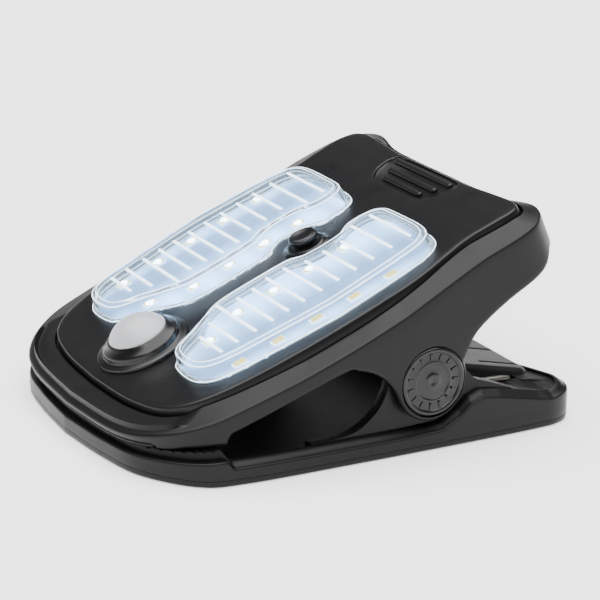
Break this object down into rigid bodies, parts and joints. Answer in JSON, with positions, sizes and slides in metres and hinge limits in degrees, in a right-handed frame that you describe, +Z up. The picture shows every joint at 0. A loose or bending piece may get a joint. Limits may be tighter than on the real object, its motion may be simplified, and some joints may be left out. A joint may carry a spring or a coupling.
{
  "type": "clip-on light",
  "caption": "Cordless spring clamp light: tilted LED head with clear covers, motion sensor dome and push button, hinged on a flat-bottomed lower jaw",
  "frame": {"origin": "on the surface that the lamp lies on, under the middle of the hinge axis", "axes": "+X towards the handles, -X towards the jaws, +Y across, +Z up"},
  "size_m": [0.1199, 0.104, 0.0563],
  "materials": {
    "shell_black": "fine-textured moulded black plastic",
    "panel_black": "satin moulded black plastic",
    "trim_black": "smooth black plastic, slightly glossy",
    "pad_rubber": "black rubber, toothed",
    "clear_cover": "clear moulded plastic cover, ribbed on top",
    "dome_white": "milky white sensor lens",
    "board_white": "white coated circuit board",
    "board_green": "green circuit board",
    "led_phosphor": "lit LED packages with yellow phosphor",
    "steel": "steel wire, pins, screws and contacts",
    "spring_steel": "bright spring wire",
    "cell_wrap": "plain wrapped cell can"
  },
  "bodies": {
    "lower_arm": {"lower_shell": "shell_black", "base_cover": "shell_black", "base_screws": "steel", "jaw_pad_lower": "pad_rubber", "spring_near": "spring_steel", "spring_far": "spring_steel"},
    "upper_arm": {"upper_housing": "shell_black", "bottom_cover": "shell_black", "top_panel": "panel_black", "jaw_pad_upper": "pad_rubber", "lens_cover_near": "clear_cover", "lens_cover_far": "clear_cover", "led_board_near": "board_white", "led_board_far": "board_white", "leds_near": "led_phosphor", "leds_far": "led_phosphor", "control_board": "board_green", "pir_ring": "trim_black", "pir_dome": "dome_white", "pir_sensor": "steel", "button_collar": "trim_black", "tact_switch": "trim_black", "battery_1": "cell_wrap", "battery_2": "cell_wrap", "battery_3": "cell_wrap", "contact_plates": "steel", "contact_springs": "steel", "battery_door": "shell_black", "door_screw": "steel", "housing_screws": "steel", "pivot_pin": "steel", "pivot_cap_near": "trim_black", "pivot_cap_far": "trim_black"},
    "button": {"button": "trim_black", "switch_plunger": "trim_black"}
  },
  "joints": [
    {"name": "clamp", "type": "hinge", "parent": "lower_arm", "child": "upper_arm", "pos_m": [0, 0, 0.0179], "axis": [0, 1, 0], "range_deg": [0, 44], "stiffness_Nm_per_rad": 0.3, "springref_deg": -57.3, "deforming": ["spring_near", "spring_far"]},
    {"name": "press", "type": "slide", "parent": "upper_arm", "child": "button", "axis": [0.3907, 0, -0.9205], "range_m": [0, 0.0008], "stiffness_N_per_m": 1500, "springref_m": -0.0004}
  ]
}
